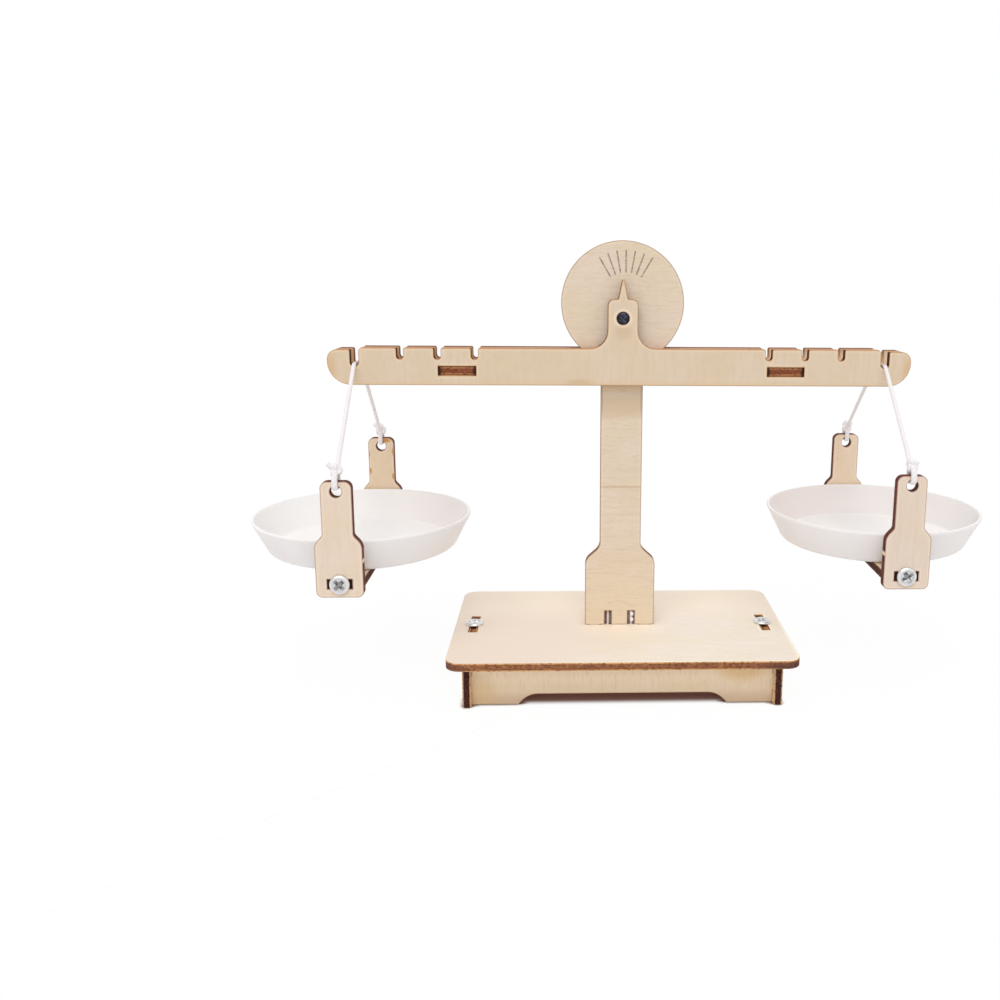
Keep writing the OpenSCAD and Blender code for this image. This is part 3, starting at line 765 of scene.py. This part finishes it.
# Golden scorch marks of the left rear board, as (along X from its middle, down from its top, reaches)
scorched = [(-3.6, 10.5, 0.8, 1.5), (3.7, 12.2, 0.9, 1.6), (-3.8, 5.1, 0.5, 1.6), (3.7, 4.4, 0.5, 1.9),
            (1.4, 0.7, 2.4, 1.1)]
for name, tone in hanger_tones.items():
    side = name.split("_")[0]
    low, high, middle = node_box(f"{name}_hanger")
    spots, burns = [], []
    if "front" in name:
        inner_x = high[X] if side == "left" else low[X]
        burns = [((inner_x, middle[Y], low[Z] + bridge_up), (1.0, 2.5, 0.75), (255, 230, 194), 0.95)]
    elif side == "left":
        spots = [((middle[X] + x, low[Y], high[Z] - down), (wide, 2, tall), (204, 142, 66), 0.95)
                 for x, down, wide, tall in scorched]
        burns = [(place, reach, (176, 112, 52), 0.8) for place, reach, _, _ in spots]
    hanger_wood = plywood(
        f"{name}_hanger", tone, core=(96, 50, 42), veneer=(134, 88, 70), streaks=0.18,
        edge=(186, 158, 148), spots=spots, burns=burns)
    laser_cut(f"{name}_hanger", f"{side}_pan", Y, Z, hanger_wood)
# The front ends of the bars' tabs, which show beside the screws, are burnt nearly black
bar_ends = [((0, -33, 45), (300, 2, 90), (34, 12, 10), 0.85)]
# The bar's tone is paler than its wood, painted light against the shade of the dish above it
bar_wood = plywood(
    "crossbar", (252, 230, 200), core=(72, 32, 24), veneer=(130, 84, 54), burns=bar_ends)
laser_cut("left_crossbar", "left_pan", Z, Y, bar_wood)
laser_cut("right_crossbar", "right_pan", Z, Y, bar_wood)


# Dishes. Each is one shallow round bowl of milky white plastic, pressed thin, with a rounded lip.
# It stands on the bar between the two upright boards.
dish_wall = 0.9
dish_bend = 2.6
dish_foot_inset = 4.2
dish_sides = 128
# Painted light and shade on each dish's inner wall, at its left and at its right, with a painted
# warm reflection of the wood in the right dish
painted_inner_wall_light = {"left": (colour(249, 247, 245), colour(231, 224, 221)),
               "right": (colour(234, 223, 219), colour(233, 228, 227))}

for side, (left_wall, right_wall) in painted_inner_wall_light.items():
    low, high, middle = node_box(f"{side}_dish")
    rim_r = (high[X] - low[X]) / 2
    finish = Finish(f"{side}_milky_plastic")
    cloud = finish.noise(scale=45.0, detail=3.0)
    dust = finish.noise(scale=2200.0)
    shade = finish.mix(cloud.between(0.35, 0.7), colour(245, 240, 239), colour(241, 235, 233))
    shade = finish.mix(dust.between(0.66, 0.8) * 0.5, shade, colour(222, 214, 209))
    up = finish.facing_up()
    to_the_right = finish.parts(finish.place())[X].between((middle[X] - 30) * MM, (middle[X] + 30) * MM)
    # The inner wall gets its painted light and shade, and the floor, which faces up, gets painted light
    painted_wall_light = finish.mix(to_the_right, left_wall, right_wall)
    shade = finish.mix(up.between(0.2, 0.4) * (1 - up.between(0.7, 0.9)) * 0.8, shade, painted_wall_light)
    shade = finish.mix(up.between(0.8, 0.95) * 0.7, shade, colour(250, 246, 242))
    milky_plastic = finish.surface(
        Base_Color=shade, Roughness=0.38 + cloud * 0.12, IOR=1.49, Specular_IOR_Level=0.35,
        Subsurface_Weight=0.35, Subsurface_Radius=(1.0, 0.85, 0.75), Subsurface_Scale=2.5 * MM,
        Normal=finish.bump(cloud, 0.03, 0.2))
    foot_r = rim_r - dish_foot_inset
    foot = low[Z]
    lip = high[Z]
    lean = math.degrees(math.atan2(dish_foot_inset, lip - foot - dish_bend))
    bend = (foot_r - dish_bend + 0.6, foot + dish_bend)
    outline = [(0, foot), (0.5 * foot_r, foot), (bend[0] - 1.2, foot)]
    outline += arc(bend, dish_bend, -90, -lean, 8)
    half = dish_wall / 2
    outline += arc((rim_r - half, lip - half), half, -lean / 2, 180 - lean / 2, 8)
    outline += arc(bend, dish_bend - dish_wall, -lean, -90, 8)
    outline += [(r, foot + dish_wall) for r in (bend[0] - 1.2, 0.5 * foot_r, 0)]
    points, faces = lathed(outline, dish_sides, Z, middle * (1, 1, 0))
    dish = add_piece(f"{side}_milky_dish", points, faces, 35, milky_plastic)
    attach(dish, f"{side}_pan")
    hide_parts(f"{side}_dish")


# Screws and nuts. Small pan-head machine screws with a cross recess, of plated steel. Each goes
# down between two tabs into a hexagon nut that sits in a pocket of the board.
shank_d = 3.0
screw_sides = 40
head_d = 5.3
head_h = 1.1
base_head_h = 0.85
head_edge_round = 0.15
tip_taper = 0.35
thread_depth = 0.16
thread_pitch = 0.5
thread_share = 0.9
recess_reach = 1.65
recess_width = 1.0
recess_depth = 0.75
screw_past_nut = 0.3
nut_flats = 5.5
nut_h = 2.4
nut_chamfer = 0.25
nut_corner_slope = 0.58
nut_sides = 72
hole_bevel = 0.3
hole_gap = 0.02
# How far the crosses of the screws are turned, in degrees
base_turns = (12, 40)
front_turns = {"left": 45, "right": 30}
rear_turn = 20

finish = Finish("plated_steel")
scuffs = finish.noise(scale=900.0, detail=3.0)
cloud = finish.noise(scale=260.0)
shade = finish.mix(scuffs.between(0.45, 0.75), colour(226, 226, 226), colour(204, 204, 207))
# Painted shade in the cross recesses and a painted darker reflection on the heads' flat tops
shade = finish.mix(finish.stored("hollow"), shade, colour(92, 92, 94))
plated_steel = finish.surface(Base_Color=shade, Metallic=1.0, Roughness=0.2 + cloud * 0.22,
                              Normal=finish.bump(scuffs, 0.03, 0.3))


def hidden_piece(name, points, faces, smooth_to):
    """A pattern piece that only the fastener tree uses."""
    piece = add_piece(name, points, faces, smooth_to)
    scene.collection.objects.unlink(piece)
    return piece


def screw_blank(group, head_h, length, recess_shade):
    """A pan-head screw with its seat at the origin, pointing down, and the cross that is cut in its
    head. The last argument is how dark the cross is painted, a painted shade, from 0 to 1, and the
    flat top of the head is painted darker by 0.3 of that, a painted reflection."""
    dome = head_h - 0.3
    core_r = shank_d / 2 - thread_depth
    flat_r = head_d / 2 - head_edge_round
    profile = [(0, -length), (core_r - tip_taper, -length), (core_r, 0.4 - length), (core_r, -0.05),
               (shank_d / 2 - 0.02, 0), (flat_r, 0)]
    profile += arc((flat_r, head_edge_round), head_edge_round, -90, 0, 3)[1:]
    profile += arc((head_d / 2 - dome, head_h - dome), dome, 0, 82, 10)
    profile += [(head_d / 2 - dome - 0.1, head_h - 0.003), (1.2, head_h), (0.4, head_h), (0, head_h)]
    points, faces = lathed(profile, screw_sides)
    blank = hidden_piece(f"{group}_screw", points, faces, 40)
    # The flat top of the head gets a painted darker reflection
    on_top = [min(points[i][Z] for i in face) > head_h - 0.03 for face in faces]
    keep_values(blank, "hollow", [0.3 * recess_shade * flat for flat in on_top], "FACE")
    points = []
    for level, out, across in ((head_h - recess_depth, 0.45, 0.3), (head_h + 0.2, 1.1, 0.55)):
        reach = out * recess_reach
        half_w = across * recess_width
        for x, y in ((1, 0), (0, 1), (-1, 0), (0, -1)):
            points += [(reach * x + half_w * y, reach * y - half_w * x, level),
                       (reach * x - half_w * y, reach * y + half_w * x, level),
                       (half_w * (x - y), half_w * (x + y), level)]
    faces = bridged([range(12), range(12, 24)]) + [tuple(range(11, -1, -1)), tuple(range(12, 24))]
    cross = hidden_piece(f"{group}_cross", points, faces, 20)
    # The cross gets painted shade
    keep_values(cross, "hollow", [recess_shade] * len(faces), "FACE")
    return blank, cross


def nut_blank():
    """A hexagon nut with its middle at the origin and its hole upright, its corners turned off."""
    half_h = nut_h / 2
    hole_r = shank_d / 2 + hole_gap
    flat_r = nut_flats / 2 - nut_chamfer
    points, rings = [], []
    for k in range(nut_sides):
        angle = 2 * math.pi * k / nut_sides
        from_flat = (angle + math.pi / 6) % (math.pi / 3) - math.pi / 6
        outer = nut_flats / 2 / math.cos(from_flat)
        chamfer_h = half_h - max(0.0, outer - flat_r) * nut_corner_slope
        profile = [(hole_r + hole_bevel, half_h), (flat_r, half_h), (outer, chamfer_h),
                   (outer, -chamfer_h), (flat_r, -half_h), (hole_r + hole_bevel, -half_h),
                   (hole_r, hole_bevel - half_h), (hole_r, half_h - hole_bevel)]
        rings.append(range(len(points), len(points) + len(profile)))
        points += [(r * math.cos(angle), r * math.sin(angle), level) for r, level in profile]
    return hidden_piece("nut", points, bridged(rings + rings[:1]), 30)


def fastener_tree():
    """Sets a blank on every seat point, with the recess cut and the thread wound round its shank."""
    group = bpy.data.node_groups.new("fasteners", "GeometryNodeTree")
    group.interface.new_socket("Fasteners", in_out="OUTPUT", socket_type="NodeSocketGeometry")
    inputs = {"Seats": "Geometry", "Blank": "Object", "Recess": "Object", "Finish": "Material",
              "Thread diameter": "Float", "Thread depth": "Float", "Thread pitch": "Float",
              "Thread length": "Float", "Threaded": "Bool"}
    for name, kind in inputs.items():
        group.interface.new_socket(name, in_out="INPUT", socket_type=f"NodeSocket{kind}")
    tree = Tree(group)
    given = {socket.name: Wire(tree, socket) for socket in tree.node("NodeGroupInput").socket.node.outputs}
    blank = tree.node("GeometryNodeObjectInfo", {"Object": given["Blank"]}, "Geometry")
    recess = tree.node("GeometryNodeObjectInfo", {"Object": given["Recess"]}, "Geometry")
    cut = tree.node("GeometryNodeMeshBoolean", {"Mesh 1": blank, "Mesh 2": recess},
                    operation="DIFFERENCE", solver="EXACT")
    length = given["Thread length"]
    radius = given["Thread diameter"] * 0.5 - thread_depth * 0.5 * MM
    turns = length / given["Thread pitch"]
    values = {"Resolution": 28, "Rotations": turns, "Start Radius": radius, "End Radius": radius,
              "Height": length}
    helix = tree.node("GeometryNodeCurveSpiral", values)
    values = {"Resolution": 4, "Radius": given["Thread depth"]}
    ridge = tree.node("GeometryNodeCurvePrimitiveCircle", values, mode="RADIUS")
    values = {"Curve": helix, "Profile Curve": ridge, "Fill Caps": True}
    wound = tree.node("GeometryNodeCurveToMesh", values)
    below = tree.node("ShaderNodeCombineXYZ", {"Z": length * -1.08})
    placed = tree.node("GeometryNodeTransform", {"Geometry": wound, "Translation": below})
    thread = tree.node("GeometryNodeSwitch", {"Switch": given["Threaded"], "True": placed},
                       input_type="GEOMETRY")
    whole = tree.node("GeometryNodeJoinGeometry", {"Geometry": cut})
    tree.links.new(thread.socket, whole.socket.node.inputs["Geometry"])
    stored = "GeometryNodeInputNamedAttribute"
    aim = tree.node(stored, {"Name": "aim"}, "Attribute", data_type="FLOAT_VECTOR")
    spin = tree.node(stored, {"Name": "spin"}, "Attribute", data_type="FLOAT")
    facing = tree.node("FunctionNodeAlignRotationToVector", {"Vector": aim}, axis="Z")
    about = tree.node("FunctionNodeAxisAngleToRotation", {"Axis": (0, 0, 1), "Angle": spin})
    turned = tree.node("FunctionNodeRotateRotation", {"Rotation": facing, "Rotate By": about},
                       rotation_space="LOCAL")
    seated = tree.node("GeometryNodeInstanceOnPoints",
                       {"Points": given["Seats"], "Instance": whole, "Rotation": turned})
    real = tree.node("GeometryNodeRealizeInstances", {"Geometry": seated})
    finished = tree.node("GeometryNodeSetMaterial", {"Geometry": real, "Material": given["Finish"]})
    tree.node("NodeGroupOutput", {"Fasteners": finished})
    return group


fasteners = fastener_tree()
nut = nut_blank()


def set_fasteners(name, body, node, seats, blank, recess=None, thread_length=0):
    """One piece from the tree for all fasteners of a node. A seat is (place, aim, turn in degrees)."""
    piece = add_piece(name, [place for place, _, _ in seats], [])
    keep_values(piece, "aim", [aim for _, aim, _ in seats])
    keep_values(piece, "spin", [math.radians(turn) for _, _, turn in seats])
    modifier = piece.modifiers.new("fasteners", "NODES")
    modifier.node_group = fasteners
    values = {"Blank": blank, "Recess": recess, "Finish": plated_steel, "Thread diameter": shank_d * MM,
              "Thread depth": thread_depth * MM, "Thread pitch": thread_pitch * MM,
              "Thread length": thread_length * MM, "Threaded": bool(thread_length)}
    for item in fasteners.interface.items_tree:
        if item.in_out == "INPUT" and item.name in values:
            modifier[item.identifier] = values[item.name]
    evaluated = piece.evaluated_get(bpy.context.evaluated_depsgraph_get())
    mesh = bpy.data.meshes.new_from_object(evaluated)
    piece.modifiers.clear()
    piece.data = mesh
    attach(piece, body)
    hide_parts(node)


low, high, _ = node_box("base_screws")
seat_x = high[X] - head_d / 2
seat_z = high[Z] - head_h
length = seat_z - low[Z]
blank, recess = screw_blank("base", base_head_h, length, 0.1)
sides = (-seat_x, seat_x)
seats = [((x, 0, seat_z), (0, 0, 1), turn) for x, turn in zip(sides, base_turns)]
set_fasteners("base_machine_screws", "stand", "base_screws", seats, blank, recess, thread_share * length)
nut_z = node_box("base_nuts")[2][Z]
seats = [((x, 0, nut_z), (0, 0, 1), 0) for x in sides]
set_fasteners("base_hexagon_nuts", "stand", "base_nuts", seats, nut)
for side in ("left", "right"):
    pan = f"{side}_pan"
    _, high, (x, _, z) = node_box(f"{pan}_screws")
    seat_y = high[Y] - head_h
    nut_y = node_box(f"{pan}_nuts")[1][Y] - nut_h / 2
    length = seat_y - nut_y + nut_h / 2 + screw_past_nut
    blank, recess = screw_blank(pan, head_h, length, 0.7)
    seats = [((x, -seat_y, z), (0, -1, 0), front_turns[side]), ((x, seat_y, z), (0, 1, 0), rear_turn)]
    set_fasteners(f"{pan}_machine_screws", pan, f"{pan}_screws", seats, blank, recess, thread_share * length)
    seats = [((x, -nut_y, z), (0, -1, 0), 0), ((x, nut_y, z), (0, 1, 0), 0)]
    set_fasteners(f"{pan}_hexagon_nuts", pan, f"{pan}_nuts", seats, nut)


# Floor and light. The toy stands on a plain pale floor in a soft, even studio light from above
# and in front. Where only the camera looks, floor and background are white.
floor_reach = 30000
floor_drop = 0.02
contact_reach = 2.5
shadow_share = 0.05
sky_level = 0.74
lamp_level = 0.36
lamp_height = 54
lamp_side = -10
lamp_spread = 50

around = (-1, -1), (1, -1), (1, 1), (-1, 1)
corners = [(x * floor_reach, y * floor_reach, -floor_drop) for x, y in around]
floor = add_piece("floor", corners, [(0, 1, 2, 3)])
finish = Finish("pale_floor")


def ray_is(tree, *kinds):
    """1 for rays of these kinds and 0 for all others."""
    total = 0.0
    for kind in kinds:
        total = tree.math("MAXIMUM", total, tree.node("ShaderNodeLightPath", output=f"Is {kind} Ray"))
    return total


def plain(kind, red, green, blue):
    """A shader of one colour for the floor."""
    return finish.node(f"ShaderNode{kind}", {"Color": (red, green, blue, 1)})


def blend(share, first, second):
    return finish.node("ShaderNodeMixShader", {0: share, 1: first, 2: second})


# The open floor is white with a faint shadow. Inside the base the floor is painted shade, a dark
# brown floor with a faint brown glow for the shade its wood throws there, and a thin dark line of
# painted contact shade lies where the toy touches it
low, high, _ = node_box("base_front")
floor_x, floor_y, _ = finish.parts(finish.place())
inside_x = 1 - floor_x.size().between((high[X] - 0.5) * MM, (high[X] + 0.5) * MM)
inside_y = 1 - floor_y.size().between((-low[Y] - 2.6) * MM, (-low[Y] + 0.8) * MM)
open_air = finish.node("ShaderNodeAmbientOcclusion", {"Distance": contact_reach * MM}, "AO", samples=8)
white = plain("BsdfDiffuse", 1, 1, 1)
seen = blend(shadow_share, plain("Emission", 1, 1, 1), white)
# Painted contact shade: the floor turns dark brown where the toy hems it in
seen = blend(open_air.between(0.45, 0.8), plain("BsdfDiffuse", 0.26, 0.18, 0.13), seen)
# Painted shade inside the base: a dark brown floor and a faint brown glow
shades = {0: plain("BsdfDiffuse", 0.28, 0.22, 0.19), 1: plain("Emission", 0.071, 0.025, 0.017)}
brown = finish.node("ShaderNodeAddShader", shades)
seen = blend(inside_x * inside_y, seen, brown)
unseen = blend(ray_is(finish, "Glossy", "Transmission"), plain("BsdfDiffuse", 0.8, 0.8, 0.8), white)
finish.node("ShaderNodeOutputMaterial", {0: blend(ray_is(finish, "Camera"), unseen, seen)})
floor.data.materials.append(finish.material)

world = bpy.data.worlds.new("studio")
world.use_nodes = True
scene.world = world
sky = Tree(world.node_tree)
level = ray_is(sky, "Camera", "Glossy", "Transmission") * (1 - sky_level) + sky_level
background = sky.node("ShaderNodeBackground", {"Color": (1, 1, 1, 1), "Strength": level})
sky.node("ShaderNodeOutputWorld", {0: background})

lamp_data = bpy.data.lights.new("soft_lamp", "SUN")
lamp_data.energy = lamp_level * math.pi
lamp_data.angle = math.radians(lamp_spread)
lamp = bpy.data.objects.new("soft_lamp", lamp_data)
lamp.rotation_euler = (math.radians(90 - lamp_height), 0, math.radians(lamp_side))
scene.collection.objects.link(lamp)

scene.view_settings.view_transform = "Standard"
